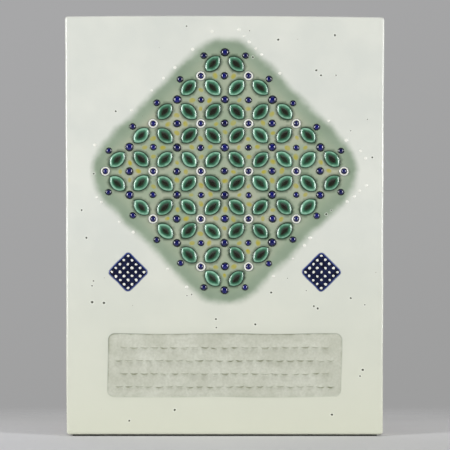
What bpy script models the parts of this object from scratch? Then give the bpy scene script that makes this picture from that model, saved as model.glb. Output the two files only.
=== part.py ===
"""Wall plaque: an upright, press-moulded slab of glazed stoneware with a hollow back, fired as one piece.

The face carries a diamond trellis of dished leaves with studs and collars, two small studded squares that stand
on a corner, and a sunk panel of stamped crescents. Metres, +Z up. The face looks along -Y and the back lies on
the plane y = 0. The origin is the middle of the top rim's back face, which bears on the wall that it hangs on.
"""

import math

import bmesh
import bpy
import numpy as np
from mathutils import Matrix

# Slab: a little wider at the top, and a little low at its top right corner, as a hand-cut slab is. Its upright
# edges are rounder than its face edge by the corner ease, so that the two roundings fit one another.
FOOT_WIDTH = 0.3025
TOP_FLARE = 0.0030
TOP_RIGHT_DROP = 0.0014
DEPTH = 0.022
FACE_THICKNESS = 0.009
RIM_WIDTH = 0.018
FACE_EDGE_RADIUS = 0.0022
CORNER_EASE = 0.0003
BACK_EDGE_RADIUS = 0.0010
HOLLOW_CORNER_RADIUS = 0.010
ROUND_STEPS = 3

# Trellis: a square lattice stood on its corner, with a leaf on each line and a stud at each crossing.
TRELLIS_CELLS = 5
TRELLIS_SIDE_MARGIN = 0.0375
TRELLIS_TOP_MARGIN = 0.0350
LEAF_WIDTH = 0.0138
LEAF_GAP = 0.0012
LEAF_HEIGHT = 0.0019
LEAF_SIDE_HEIGHT = 0.0007
LEAF_SHOULDER = 0.0014
LEAF_POOL_INSET = 0.0034
LEAF_POOL_HEIGHT = 0.0008
LEAF_ARC_STEPS = 4

# Studs and collars: domes that rise by a share of their radius, and pale rings that hold a bead.
COLLAR_RADIUS = 0.0047
COLLAR_HEIGHT = 0.0016
COLLAR_RING_WIDTH = 0.0019
COLLAR_BEAD_RISE = 0.0010
CROSSING_STUD_RADIUS = 0.0040
CELL_STUD_RADIUS = 0.0037
SMALL_STUD_RADIUS = 0.0031
BORDER_GAP = 0.0016
STUD_RISE = 0.62
ROUND_SIDES = 8

# Studded squares: as far from the slab's sides as from the panel below them.
SQUARE_SIDE = 0.0270
SQUARE_MARGIN = 0.0400
SQUARE_RISE = 0.0008
SQUARE_CORNER_RADIUS = 0.0030
SQUARE_ROWS = 5
SQUARE_STUD_WIDTH = 0.0030
SQUARE_STUD_RISE = 0.0008
SQUARE_STUD_SIDES = 5
SQUARE_BORDER = 0.0012

# Stamped panel near the foot: rows of the crescents that a tilted round tool leaves.
PANEL_GAP = 0.0415
PANEL_HEIGHT = 0.0600
PANEL_SIDE_MARGIN = 0.0400
PANEL_FOOT_MARGIN = 0.0360
PANEL_DEPTH = 0.0005
PANEL_CORNER_RADIUS = 0.0060
STAMP_PITCH = 0.0096
STAMP_ROW_PITCH = 0.0125
STAMP_BORDER = 0.0060
STAMP_RADIUS = 0.0034
STAMP_BITE = 0.0009
STAMP_TILT = math.radians(28)
STAMP_SIDES = 6

# Handwork: how far the pressed forms stray from true, in place, turn and size.
STRAY = 0.00035
STRAY_TURN = math.radians(2.5)
STRAY_SIZE = 0.05
SEED = 11

# How far a raised form reaches down into what it stands on, and a cutter out of it.
ROOT = 0.0020

LATTICE_HALF = FOOT_WIDTH / 2 - TRELLIS_SIDE_MARGIN
HEIGHT = TRELLIS_TOP_MARGIN + 2 * LATTICE_HALF + PANEL_GAP + PANEL_HEIGHT + PANEL_FOOT_MARGIN
CORNER_RADIUS = FACE_EDGE_RADIUS + CORNER_EASE
TOP_Z = RIM_WIDTH / 2
FOOT_Z = TOP_Z - HEIGHT
FACE_Y = -DEPTH
TRELLIS_Z = TOP_Z - TRELLIS_TOP_MARGIN - LATTICE_HALF
PITCH = LATTICE_HALF * math.sqrt(2) / TRELLIS_CELLS
LEAF_LENGTH = PITCH - 2 * (COLLAR_RADIUS + LEAF_GAP)
PANEL_WIDTH = FOOT_WIDTH - 2 * PANEL_SIDE_MARGIN
PANEL_Z = FOOT_Z + PANEL_FOOT_MARGIN + PANEL_HEIGHT / 2
ON_FACE = Matrix.Translation((0, FACE_Y, 0)) @ Matrix.Rotation(math.pi / 2, 4, "X")


def clear_scene():
    for obj in list(bpy.data.objects):
        bpy.data.objects.remove(obj)


def collection(name):
    made = bpy.data.collections.new(name)
    bpy.context.scene.collection.children.link(made)
    return made


def pale_glaze():
    """The pale, faintly green glaze over the whole slab."""
    material = bpy.data.materials.new("pale_glaze")
    material.use_nodes = True
    shader = material.node_tree.nodes["Principled BSDF"]
    shader.inputs["Base Color"].default_value = (0.70, 0.72, 0.66, 1)
    shader.inputs["Roughness"].default_value = 0.25
    shader.inputs["Metallic"].default_value = 0.0
    return material


def mesh_object(name, bm, home):
    """An object made of the bmesh, with its faces turned outwards."""
    bmesh.ops.recalc_face_normals(bm, faces=bm.faces)
    mesh = bpy.data.meshes.new(name)
    bm.to_mesh(mesh)
    bm.free()
    obj = bpy.data.objects.new(name, mesh)
    home.objects.link(obj)
    return obj


def helper(name, bm, home):
    """An object that only cuts or joins, and isn't a piece."""
    obj = mesh_object(name, bm, home)
    obj.hide_render = True
    obj.display_type = "WIRE"
    return obj


def boolean(obj, other, operation):
    """Cuts the other object out of this one, or joins it on."""
    modifier = obj.modifiers.new(other.name, "BOOLEAN")
    modifier.operation = operation
    modifier.solver = "EXACT"
    modifier.object = other


def block(x_low, x_high, y_low, y_high, z_low, z_high):
    """A box between two corners, as a bmesh."""
    bm = bmesh.new()
    bmesh.ops.create_cube(bm, size=1)
    bm.transform(Matrix.Diagonal((x_high - x_low, y_high - y_low, z_high - z_low, 1)))
    middle = ((x_low + x_high) / 2, (y_low + y_high) / 2, (z_low + z_high) / 2)
    bm.transform(Matrix.Translation(middle))
    return bm


def round_edges(bm, chosen, radius):
    bmesh.ops.bevel(bm, geom=chosen, offset=radius, segments=ROUND_STEPS, profile=0.5, affect="EDGES")


def edges_through(bm):
    """The four edges that run from front to back."""
    return [e for e in bm.edges if abs(e.verts[0].co.y - e.verts[1].co.y) > 1e-6]


def edges_at(bm, y):
    return [e for e in bm.edges if all(abs(v.co.y - y) < 1e-6 for v in e.verts)]


def slab(home):
    half = FOOT_WIDTH / 2
    bm = block(-half, half, FACE_Y, 0, FOOT_Z, TOP_Z)
    for vert in bm.verts:
        if vert.co.z > (FOOT_Z + TOP_Z) / 2:
            side = math.copysign(1, vert.co.x)
            vert.co.x += side * TOP_FLARE / 2
            vert.co.z -= TOP_RIGHT_DROP if side > 0 else 0
    round_edges(bm, edges_through(bm), CORNER_RADIUS)
    round_edges(bm, edges_at(bm, FACE_Y), FACE_EDGE_RADIUS)
    round_edges(bm, edges_at(bm, 0), BACK_EDGE_RADIUS)
    return mesh_object("plaque", bm, home)


def back_hollow(home):
    """What is hollowed out of the back, inside the rim that lies on the wall."""
    half = FOOT_WIDTH / 2 - RIM_WIDTH
    bm = block(-half, half, FACE_Y + FACE_THICKNESS, ROOT, FOOT_Z + RIM_WIDTH, TOP_Z - RIM_WIDTH)
    round_edges(bm, edges_through(bm), HOLLOW_CORNER_RADIUS)
    return helper("back_hollow", bm, home)


def stray(count, seed):
    """Rows of four numbers from -1 to 1: sideways, upwards, turn and size."""
    return np.random.default_rng(seed).uniform(-1, 1, (count, 4))


def pose(x, z, turn=0.0, size=1.0, lift=0.0):
    """Where a form stands on the face: its place, its turn, its size and how far out it is lifted."""
    return Matrix.Translation((x, z, lift)) @ Matrix.Rotation(turn, 4, "Z") @ Matrix.Scale(size, 4)


def place(target, mesh, matrix):
    """Adds a copy of the mesh to the bmesh target. The mesh's own z points out of the face."""
    first = len(target.verts)
    target.from_mesh(mesh)
    target.verts.ensure_lookup_table()
    bmesh.ops.transform(target, matrix=ON_FACE @ matrix, verts=target.verts[first:])


def lattice_point(i, j):
    """The place on the face, as (x, z), of lattice point i, j. Halves give the middles of lines and cells."""
    step = PITCH / math.sqrt(2)
    return (i - j) * step, TRELLIS_Z + (i + j - TRELLIS_CELLS) * step


def leaf_places():
    """(x, z, turn) of each leaf: one on each line of the lattice."""
    places = []
    for i in range(TRELLIS_CELLS + 1):
        for j in range(TRELLIS_CELLS):
            places.append((*lattice_point(j + 0.5, i), math.pi / 4))
            places.append((*lattice_point(i, j + 0.5), 3 * math.pi / 4))
    return places


def collar_places():
    """(x, z) of every second crossing."""
    count = TRELLIS_CELLS + 1
    return [lattice_point(i, j) for i in range(count) for j in range(count) if (i + j) % 2]


def stud_places():
    """(x, z, radius) of each stud: at the other crossings, in the cells and along the trellis's outside."""
    places = []
    for i in range(TRELLIS_CELLS + 1):
        for j in range(TRELLIS_CELLS + 1):
            if (i + j) % 2 == 0:
                places.append((*lattice_point(i, j), CROSSING_STUD_RADIUS))
    for i in range(TRELLIS_CELLS):
        for j in range(TRELLIS_CELLS):
            radius = SMALL_STUD_RADIUS if (i + j) % 2 else CELL_STUD_RADIUS
            places.append((*lattice_point(i + 0.5, j + 0.5), radius))
    away = (LEAF_WIDTH / 2 + BORDER_GAP + SMALL_STUD_RADIUS) / PITCH
    for k in range(TRELLIS_CELLS):
        for across in (-away, TRELLIS_CELLS + away):
            places.append((*lattice_point(k + 0.5, across), SMALL_STUD_RADIUS))
            places.append((*lattice_point(across, k + 0.5), SMALL_STUD_RADIUS))
    return places


def leaf_outline(inset):
    """The leaf's outline moved in by the inset: two arcs that meet at the points, as rows of (x, y)."""
    full_radius = (LEAF_LENGTH**2 + LEAF_WIDTH**2) / (4 * LEAF_WIDTH)
    centre = full_radius - LEAF_WIDTH / 2
    radius = full_radius - inset
    half_angle = math.acos(centre / radius)
    turns = np.linspace(-half_angle, half_angle, LEAF_ARC_STEPS + 1)[:-1]
    lower = np.column_stack([radius * np.sin(turns), centre - radius * np.cos(turns)])
    return np.concatenate([lower, -lower])


def loft(rings):
    """A closed body through rings of as many points each, given as (outline, height), from its root up."""
    bm = bmesh.new()
    rows = [[bm.verts.new((x, y, height)) for x, y in outline] for outline, height in rings]
    count = len(rows[0])
    for low, high in zip(rows, rows[1:]):
        for k in range(count):
            following = (k + 1) % count
            bm.faces.new((low[k], low[following], high[following], high[k]))
    bm.faces.new(rows[0][::-1])
    bm.faces.new(rows[-1])
    return bm


def leaf_mesh():
    """One dished leaf: a steep side, a raised shoulder and a pool inside it."""
    bm = loft(
        [
            (leaf_outline(0), -ROOT),
            (leaf_outline(0), LEAF_SIDE_HEIGHT),
            (leaf_outline(LEAF_SHOULDER), LEAF_HEIGHT),
            (leaf_outline(LEAF_POOL_INSET), LEAF_POOL_HEIGHT),
        ]
    )
    mesh = bpy.data.meshes.new("leaf")
    bm.to_mesh(mesh)
    bm.free()
    return mesh


def applied(obj):
    """The object's mesh with its modifiers applied. The object itself is removed."""
    bpy.context.view_layer.update()
    made = bpy.data.meshes.new_from_object(obj.evaluated_get(bpy.context.evaluated_depsgraph_get()))
    bpy.data.objects.remove(obj)
    return made


def turned_mesh(name, profile, home):
    """A profile of (radius, height) pairs, from its top down, turned about the height's axis."""
    mesh = bpy.data.meshes.new(name)
    edges = [(k, k + 1) for k in range(len(profile) - 1)]
    mesh.from_pydata([(radius, 0, height) for radius, height in profile], edges, [])
    obj = bpy.data.objects.new(name, mesh)
    home.objects.link(obj)
    screw = obj.modifiers.new("turn", "SCREW")
    screw.steps = screw.render_steps = ROUND_SIDES
    screw.use_merge_vertices = True
    screw.merge_threshold = 1e-5
    return applied(obj)


def stud_mesh(home):
    """A low dome of radius 1 at the face, which goes on below the face at its edge's slope."""
    shoulder = np.array([0.6, 0.76 * STUD_RISE])
    edge = np.array([1.0, 0.0])
    skirt = edge + 0.25 * (edge - shoulder)
    root = -ROOT / CROSSING_STUD_RADIUS
    return turned_mesh("stud", [(0, STUD_RISE), shoulder, skirt, (skirt[0], root), (0, root)], home)


def collar_mesh(home):
    """A pale ring with a small bead sunk in it."""
    inner = COLLAR_RADIUS - COLLAR_RING_WIDTH
    profile = [
        (0, COLLAR_HEIGHT + COLLAR_BEAD_RISE),
        (inner, COLLAR_HEIGHT * 0.6),
        (inner + COLLAR_RING_WIDTH * 0.45, COLLAR_HEIGHT),
        (COLLAR_RADIUS, COLLAR_HEIGHT * 0.35),
        (COLLAR_RADIUS, -ROOT),
        (0, -ROOT),
    ]
    return turned_mesh("collar", profile, home)


def add_leaves(target):
    mesh = leaf_mesh()
    places = leaf_places()
    for (x, z, turn), (aside, up, twist, grow) in zip(places, stray(len(places), SEED)):
        size = 1 + STRAY_SIZE * (grow - 1) / 2
        place(target, mesh, pose(x + STRAY * aside, z + STRAY * up, turn + STRAY_TURN * twist, size))


def add_rounds(target, home):
    """The studs, which differ a little in size and place, and the collars."""
    stud = stud_mesh(home)
    places = stud_places()
    for (x, z, radius), (aside, up, twist, grow) in zip(places, stray(len(places), SEED + 1)):
        size = radius * (1 + STRAY_SIZE * grow)
        place(target, stud, pose(x + STRAY * aside, z + STRAY * up, twist, size))
    collar = collar_mesh(home)
    for x, z in collar_places():
        place(target, collar, pose(x, z))


def square_places():
    """(x, z) of the two studded squares."""
    half_diagonal = SQUARE_SIDE / math.sqrt(2)
    x = FOOT_WIDTH / 2 - SQUARE_MARGIN - half_diagonal
    z = PANEL_Z + PANEL_HEIGHT / 2 + SQUARE_MARGIN + half_diagonal
    return [(-x, z), (x, z)]


def square_plate():
    """A thin square plate with rounded corners, its top SQUARE_RISE above the face."""
    half = SQUARE_SIDE / 2
    bm = block(-half, half, -half, half, -ROOT, SQUARE_RISE)
    upright = [e for e in bm.edges if abs(e.verts[0].co.z - e.verts[1].co.z) > 1e-6]
    round_edges(bm, upright, SQUARE_CORNER_RADIUS)
    return bm


def square_studs():
    """Rows of low blunt studs that stand on the square plate."""
    radius = SQUARE_STUD_WIDTH / 2
    height = ROOT + SQUARE_STUD_RISE
    reach = SQUARE_SIDE / 2 - SQUARE_BORDER - radius
    steps = np.linspace(-reach, reach, SQUARE_ROWS)
    bm = bmesh.new()
    for x in steps:
        for y in steps:
            middle = Matrix.Translation((x, y, SQUARE_RISE + SQUARE_STUD_RISE - height / 2))
            bmesh.ops.create_cone(
                bm,
                cap_ends=True,
                segments=SQUARE_STUD_SIDES,
                radius1=radius,
                radius2=0.6 * radius,
                depth=height,
                matrix=middle,
            )
    return bm


def add_squares(target, home):
    plate = mesh_object("square_plate", square_plate(), home)
    studs = mesh_object("square_studs", square_studs(), home)
    boolean(plate, studs, "UNION")
    mesh = applied(plate)
    bpy.data.objects.remove(studs)
    for x, z in square_places():
        place(target, mesh, pose(x, z, math.pi / 4))


def panel_cutter(home):
    """The sunk panel, with the bites of the stamp below its floor."""
    half_width = PANEL_WIDTH / 2
    z_low = PANEL_Z - PANEL_HEIGHT / 2
    bm = block(-half_width, half_width, FACE_Y - ROOT, FACE_Y + PANEL_DEPTH, z_low, z_low + PANEL_HEIGHT)
    round_edges(bm, edges_through(bm), PANEL_CORNER_RADIUS)
    panel = helper("panel", bm, home)
    boolean(panel, stamps(home), "UNION")
    return panel


def stamp_places():
    """(x, z) of each crescent, in rows that fill the panel inside its border. Odd rows are half a step aside."""
    room = 2 * (STAMP_BORDER + STAMP_RADIUS)
    columns = int((PANEL_WIDTH - room) / STAMP_PITCH) + 1
    rows = int((PANEL_HEIGHT - room) / STAMP_ROW_PITCH) + 1
    places = []
    for row in range(rows):
        count = columns - row % 2
        for column in range(count):
            x = (column - (count - 1) / 2) * STAMP_PITCH
            places.append((x, PANEL_Z + (row - (rows - 1) / 2) * STAMP_ROW_PITCH))
    return places


def stamps(home):
    """The ends of a round tool, tilted so that only their lower edges bite below the panel's floor."""
    tool = bmesh.new()
    bmesh.ops.create_cone(
        tool, cap_ends=True, segments=STAMP_SIDES, radius1=STAMP_RADIUS, radius2=STAMP_RADIUS, depth=2 * ROOT
    )
    tool.transform(Matrix.Translation((0, 0, ROOT)) @ Matrix.Rotation(math.pi / STAMP_SIDES, 4, "Z"))
    tool.transform(Matrix.Rotation(STAMP_TILT, 4, "X"))
    lift = -min(v.co.z for v in tool.verts) - PANEL_DEPTH - STAMP_BITE
    mesh = bpy.data.meshes.new("stamp")
    tool.to_mesh(mesh)
    tool.free()
    target = bmesh.new()
    places = stamp_places()
    for (x, z), (aside, up, twist, _) in zip(places, stray(len(places), SEED + 2)):
        place(target, mesh, pose(x + STRAY * aside, z + STRAY * up, 2 * STRAY_TURN * twist, lift=lift))
    return helper("stamps", target, home)


def relief(home):
    """All that stands up from the face. No two of its forms touch."""
    bm = bmesh.new()
    add_leaves(bm)
    add_rounds(bm, home)
    add_squares(bm, home)
    return helper("relief", bm, home)


def main():
    clear_scene()
    home = collection("wall_plaque")
    helpers = collection("wall_plaque_cutters")
    plaque = slab(home)
    plaque.data.materials.append(pale_glaze())
    boolean(plaque, back_hollow(helpers), "DIFFERENCE")
    boolean(plaque, panel_cutter(helpers), "DIFFERENCE")
    boolean(plaque, relief(helpers), "UNION")


main()
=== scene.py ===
# %% [markdown]
# A stoneware plaque, pressed from one slab of clay and glazed in several colours. The clay model comes packed
# with its mounts and its exact solid. This script dresses it: one fine mesh takes the place of the faceted
# solid, and each glaze gets a material of its own. Everything is in metres, in the frame of the solid.

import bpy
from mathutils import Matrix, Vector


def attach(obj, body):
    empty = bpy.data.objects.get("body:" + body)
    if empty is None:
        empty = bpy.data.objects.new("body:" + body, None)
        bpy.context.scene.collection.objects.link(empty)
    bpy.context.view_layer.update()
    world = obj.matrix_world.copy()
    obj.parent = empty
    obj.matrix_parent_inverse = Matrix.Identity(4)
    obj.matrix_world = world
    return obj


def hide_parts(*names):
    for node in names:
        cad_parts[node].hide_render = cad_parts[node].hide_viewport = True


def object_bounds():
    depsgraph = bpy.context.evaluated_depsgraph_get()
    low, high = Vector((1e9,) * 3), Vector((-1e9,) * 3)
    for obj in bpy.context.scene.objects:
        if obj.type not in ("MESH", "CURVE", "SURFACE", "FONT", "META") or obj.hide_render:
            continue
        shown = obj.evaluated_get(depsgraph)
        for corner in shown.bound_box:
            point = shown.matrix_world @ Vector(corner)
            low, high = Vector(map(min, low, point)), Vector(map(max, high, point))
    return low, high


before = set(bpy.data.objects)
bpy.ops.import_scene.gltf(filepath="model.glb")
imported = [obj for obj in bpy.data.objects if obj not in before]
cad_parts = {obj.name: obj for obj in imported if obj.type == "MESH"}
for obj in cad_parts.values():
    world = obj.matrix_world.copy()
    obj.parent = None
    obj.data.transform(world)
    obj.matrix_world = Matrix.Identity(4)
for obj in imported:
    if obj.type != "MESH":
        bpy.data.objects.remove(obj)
cad_box = [list(corner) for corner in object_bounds()]

import bpy
import numpy as np
from mathutils import Vector
from mathutils.geometry import delaunay_2d_cdt

print("the solid's box:", cad_box)

# %% [markdown]
# The slab is a little wider at its top, and one corner is a little low, because it was cut by hand. These are
# the sizes that the solid was made with. The front lies on the plane y = -DEPTH, and the wall on y = 0.

# %% Sizes of the slab
MM = 0.001
FOOT_WIDTH = 302.5 * MM
TOP_FLARE = 3.0 * MM
TOP_RIGHT_DROP = 1.4 * MM
DEPTH = 22 * MM
FACE_THICKNESS = 9 * MM
RIM_WIDTH = 18 * MM
FACE_EDGE_RADIUS = 2.0 * MM
CORNER_RADIUS = 2.5 * MM
BACK_EDGE_RADIUS = 1.0 * MM
HOLLOW_CORNER_RADIUS = 10 * MM

FACE_Y = -DEPTH
TOP_Z = RIM_WIDTH / 2
FOOT_Z = cad_box[0][2]
MIDDLE_Z = (TOP_Z + FOOT_Z) / 2
print("the slab is", round(1000 * (TOP_Z - FOOT_Z), 1), "mm tall")

# %% [markdown]
# The ornament hangs on a square lattice stood on its corner. A leaf lies on each line of it, a collar or a stud
# on each crossing, and a stud in each cell. Hands never set such forms quite true, so each strays a little
# from its place, by the same seeded numbers as in the solid.

# %% The lattice and what stands on it
TRELLIS_CELLS = 5
SIDE_MARGIN = 37.5 * MM
TOP_MARGIN = 35 * MM
LATTICE_HALF = FOOT_WIDTH / 2 - SIDE_MARGIN
TRELLIS_Z = TOP_Z - TOP_MARGIN - LATTICE_HALF
PITCH = LATTICE_HALF * np.sqrt(2) / TRELLIS_CELLS
LEAF_WIDTH = 13.8 * MM
LEAF_GAP = 1.2 * MM
COLLAR_RADIUS = 4.7 * MM
LEAF_LENGTH = PITCH - 2 * (COLLAR_RADIUS + LEAF_GAP)
CROSSING_STUD_RADIUS = 4.0 * MM
CELL_STUD_RADIUS = 3.7 * MM
SMALL_STUD_RADIUS = 3.1 * MM
BORDER_GAP = 1.6 * MM
STRAY = 0.35 * MM
STRAY_TURN = np.radians(2.5)
STRAY_SIZE = 0.05
SEED = 11


def lattice_point(i, j):
    """Place on the face of lattice point i, j: x grows with i - j, and z with i + j."""
    step = PITCH / np.sqrt(2)
    i, j = np.asarray(i, float), np.asarray(j, float)
    return np.stack([(i - j) * step, TRELLIS_Z + (i + j - TRELLIS_CELLS) * step], -1)


def pairs(count):
    """All pairs i, j of whole numbers below the count, as two flat arrays."""
    return [grid.ravel() for grid in np.mgrid[0:count, 0:count]]


def stray(count, seed):
    """Rows of four numbers from -1 to 1: sideways, upwards, turn and size."""
    return np.random.default_rng(seed).uniform(-1, 1, (count, 4))


print("the lattice's lines are", round(1000 * PITCH, 1), "mm apart")


# %% Places of the leaves, the studs and the collars
def leaf_places():
    """Middle, turn and size of each leaf, as arrays."""
    i, j = np.mgrid[0 : TRELLIS_CELLS + 1, 0:TRELLIS_CELLS]
    rising, falling = lattice_point(j + 0.5, i), lattice_point(i, j + 0.5)
    middles = np.stack([rising, falling], 2).reshape(-1, 2)
    turns = np.tile([np.pi / 4, 3 * np.pi / 4], len(middles) // 2)
    moved = stray(len(middles), SEED)
    sizes = 1 + STRAY_SIZE * (moved[:, 3] - 1) / 2
    return middles + STRAY * moved[:, :2], turns + STRAY_TURN * moved[:, 2], sizes


def stud_places():
    """Middle and radius of each stud: on every second crossing, in the cells and along the outside."""
    i, j = pairs(TRELLIS_CELLS + 1)
    bare = (i + j) % 2 == 0
    crossings = lattice_point(i[bare], j[bare])
    i, j = pairs(TRELLIS_CELLS)
    cells = lattice_point(i + 0.5, j + 0.5)
    cell_radii = np.where((i + j) % 2, SMALL_STUD_RADIUS, CELL_STUD_RADIUS)
    away = (LEAF_WIDTH / 2 + BORDER_GAP + SMALL_STUD_RADIUS) / PITCH
    k = np.repeat(np.arange(TRELLIS_CELLS) + 0.5, 4)
    across = np.tile([-away, -away, TRELLIS_CELLS + away, TRELLIS_CELLS + away], TRELLIS_CELLS)
    along = np.arange(4 * TRELLIS_CELLS) % 2 == 0
    border = lattice_point(np.where(along, k, across), np.where(along, across, k))
    middles = np.concatenate([crossings, cells, border])
    radii = np.concatenate(
        [np.full(len(crossings), CROSSING_STUD_RADIUS), cell_radii, np.full(len(border), SMALL_STUD_RADIUS)]
    )
    moved = stray(len(middles), SEED + 1)
    return middles + STRAY * moved[:, :2], radii * (1 + STRAY_SIZE * moved[:, 3])


def collar_places():
    """Middle of each collar: the crossings between the bare ones."""
    i, j = pairs(TRELLIS_CELLS + 1)
    return lattice_point(i, j)[(i + j) % 2 == 1]


print(len(leaf_places()[0]), "leaves,", len(stud_places()[0]), "studs,", len(collar_places()), "collars")

# %% [markdown]
# The whole plaque is one skin, and it is gathered patch by patch. Each point carries five marks, which the
# materials read: how deep the glaze lies, partly painted shade along the panel's step and in its stamps, the
# form's own tone, and how much ochre, blue bleed or pit it has.

# %% The skin, gathered patch by patch
FINISHES = ["slab_glaze", "green_glaze", "cobalt_glaze", "white_slip"]
FINISHES += ["navy_glaze", "stamped_clay", "bare_clay"]
SLOT = {name: k for k, name in enumerate(FINISHES)}

MARKS = ("pool", "tone", "ochre", "bleed", "pit")
skin = {name: [] for name in ("points", "faces", "slots", *MARKS)}


def skin_size():
    """How many points the skin has so far."""
    return sum(len(points) for points in skin["points"])


def add_points(points, **values):
    """Adds rows of (x, y, z) with their marks, such as glaze depth or painted shade, and returns their numbers
    in the skin.
    """
    first = skin_size()
    shape = np.shape(points)[:-1]
    skin["points"].append(np.reshape(points, (-1, 3)))
    for name in MARKS:
        skin[name].append(np.broadcast_to(values.get(name, 0.0), shape).reshape(-1))
    return np.arange(first, skin_size()).reshape(shape)


def add_faces(corners, finish):
    """Adds quads or triangles, given as rows of point numbers, in one finish."""
    corners = np.reshape(corners, (-1, np.shape(corners)[-1]))
    if corners.shape[1] == 4:
        corners = np.concatenate([corners[:, [0, 1, 2]], corners[:, [0, 2, 3]]])
    skin["faces"].append(corners)
    skin["slots"].append(np.full(len(corners), SLOT[finish]))


print(len(FINISHES), "finishes, and the marks", MARKS)

# %% [markdown]
# Around each form, and over it, the skin runs in rings that follow the form's outline, so that its edges stay
# crisp with few faces. A plain grid would need a million faces for edges as crisp.


# %% Rings
def join_rings(outer, inner, finish):
    """Quads between two closed rings of as many points. Both run anticlockwise as seen from the front."""
    a, b = outer, np.roll(outer, -1, -1)
    c, d = np.roll(inner, -1, -1), inner
    add_faces(np.stack([a, b, c, d], -1), finish)


def add_rings(rings, heights, finishes, closed=False, **marks):
    """Nested rings for many forms at once, shaped (form, ring, point, xz), from the outermost inwards.

    finishes names each band's glaze. A closed form's last ring meets in its middle, in the last of them.
    Heights and marks that hold for a whole ring come shaped (ring, 1).
    """
    shape = rings.shape[:-1]
    values = {name: np.broadcast_to(value, shape) for name, value in marks.items()}
    points = np.stack([rings[..., 0], FACE_Y - np.broadcast_to(heights, shape), rings[..., 1]], -1)
    numbers = add_points(points, **values)
    for k in range(shape[1] - 1):
        join_rings(numbers[:, k], numbers[:, k + 1], finishes[k])
    if closed:
        middle = {name: value[:, -1].mean(1) for name, value in values.items()}
        middles = add_points(points[:, -1].mean(1), **middle)
        last = numbers[:, -1]
        fans = np.stack([last, np.roll(last, -1, -1), np.broadcast_to(middles[:, None], last.shape)], -1)
        add_faces(fans, finishes[-1])
    return numbers


def circle_at(radius, angles):
    """Points on a circle round the origin, at the given angles."""
    return radius * np.stack([np.cos(angles), np.sin(angles)], -1)


def circle(radius, count):
    """A ring of that many points round the origin."""
    return circle_at(radius, np.linspace(0, 2 * np.pi, count, endpoint=False))


def smooth(value):
    """The usual soft step from 0 to 1: three times the square less twice the cube."""
    value = np.clip(value, 0, 1)
    return value * value * (3 - 2 * value)


print("soft step at a quarter, a half and three quarters:", smooth(np.array([0.25, 0.5, 0.75])).round(2))

# %% [markdown]
# One form is drawn once and copied to all its places. Each copy is a little oval and a little three-sided, as
# a lump of clay pressed by hand is, because a perfect circle looks like plastic.

# %% Copies, each a little uneven
hand = np.random.default_rng(SEED + 20)


def turned(points, turns):
    """Local points (form, ..., 2) turned by each form's own angle."""
    turns = np.reshape(turns, (-1,) + (1,) * (points.ndim - 2))
    x, z = points[..., 0], points[..., 1]
    return np.stack([x * np.cos(turns) - z * np.sin(turns), x * np.sin(turns) + z * np.cos(turns)], -1)


def placed(outlines, middles, turns, sizes, wobble=0.0):
    """One form's rings (ring, point, 2), copied to every place: wobbled, turned, scaled and then moved.

    The wobble pulls each copy in, to a slight oval and a slight triangle, by the cosines of twice and three
    times the angle round its middle, less one.
    """
    copies = np.broadcast_to(outlines, (len(middles),) + outlines.shape)
    angle = np.arctan2(copies[..., 1], copies[..., 0])
    phase = hand.uniform(0, 2 * np.pi, (2, len(middles), 1, 1))
    strength = wobble * hand.uniform(0.4, 1, (2, len(middles), 1, 1))
    oval, triangle = np.cos(2 * angle + phase[0]) - 1, np.cos(3 * angle + phase[1]) - 1
    uneven = 1 + strength[0] * oval + 0.7 * strength[1] * triangle
    sizes = np.reshape(sizes, (-1, 1, 1, 1))
    return turned(copies * uneven[..., None], turns) * sizes + middles[:, None, None, :]


print("(1, 0) after a quarter turn:", turned(np.array([[1.0, 0.0]]), [np.pi / 2]).round(3)[0])

# %% [markdown]
# A leaf is pressed with a shaped tool. Its outline is two equal arcs that meet in points. Moving in by t from
# the outline keeps both arcs' centres and shortens their radius by t, so its rings are exact offsets. The
# profile across it rises steeply to a round crest and sinks to a shallow dish, where the glaze runs together.

# %% The leaf's profile and outline
# Inset from the outline in mm, height over the face in mm, and glaze depth from 0 to 1.
LEAF_PROFILE = np.array(
    [
        (-0.38, 0.00, 0.20),
        (-0.24, 0.00, 0.90),
        (-0.06, 0.34, 1.00),
        (0.14, 0.62, 0.95),
        (0.42, 0.88, 0.60),
        (0.80, 1.14, 0.14),
        (1.25, 1.42, 0.00),
        (1.75, 1.67, 0.05),
        (2.30, 1.84, 0.15),
        (2.95, 1.86, 0.30),
        (3.70, 1.72, 0.50),
        (4.45, 1.52, 0.72),
        (5.20, 1.36, 0.90),
        (6.00, 1.26, 1.00),
    ]
)
LEAF_POINTS = 36
LEAF_WOBBLE = 0.018
LEAF_INSETS, LEAF_HEIGHTS = LEAF_PROFILE[:, 0] * MM, LEAF_PROFILE[:, 1] * MM
LEAF_ARC_RADIUS = (LEAF_LENGTH**2 + LEAF_WIDTH**2) / (4 * LEAF_WIDTH)
LEAF_ARC_CENTRE = LEAF_ARC_RADIUS - LEAF_WIDTH / 2


def leaf_outline(inset, count):
    """The leaf's outline moved in by the inset: (count, 2) points along its two arcs."""
    radius = LEAF_ARC_RADIUS - inset
    half_angle = np.arccos(LEAF_ARC_CENTRE / radius)
    angles = np.linspace(-half_angle, half_angle, count // 2 + 1)[:-1]
    lower = np.stack([radius * np.sin(angles), LEAF_ARC_CENTRE - radius * np.cos(angles)], -1)
    return np.concatenate([lower, -lower])


print("a leaf's arcs have a radius of", round(1000 * LEAF_ARC_RADIUS, 1), "mm")

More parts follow.
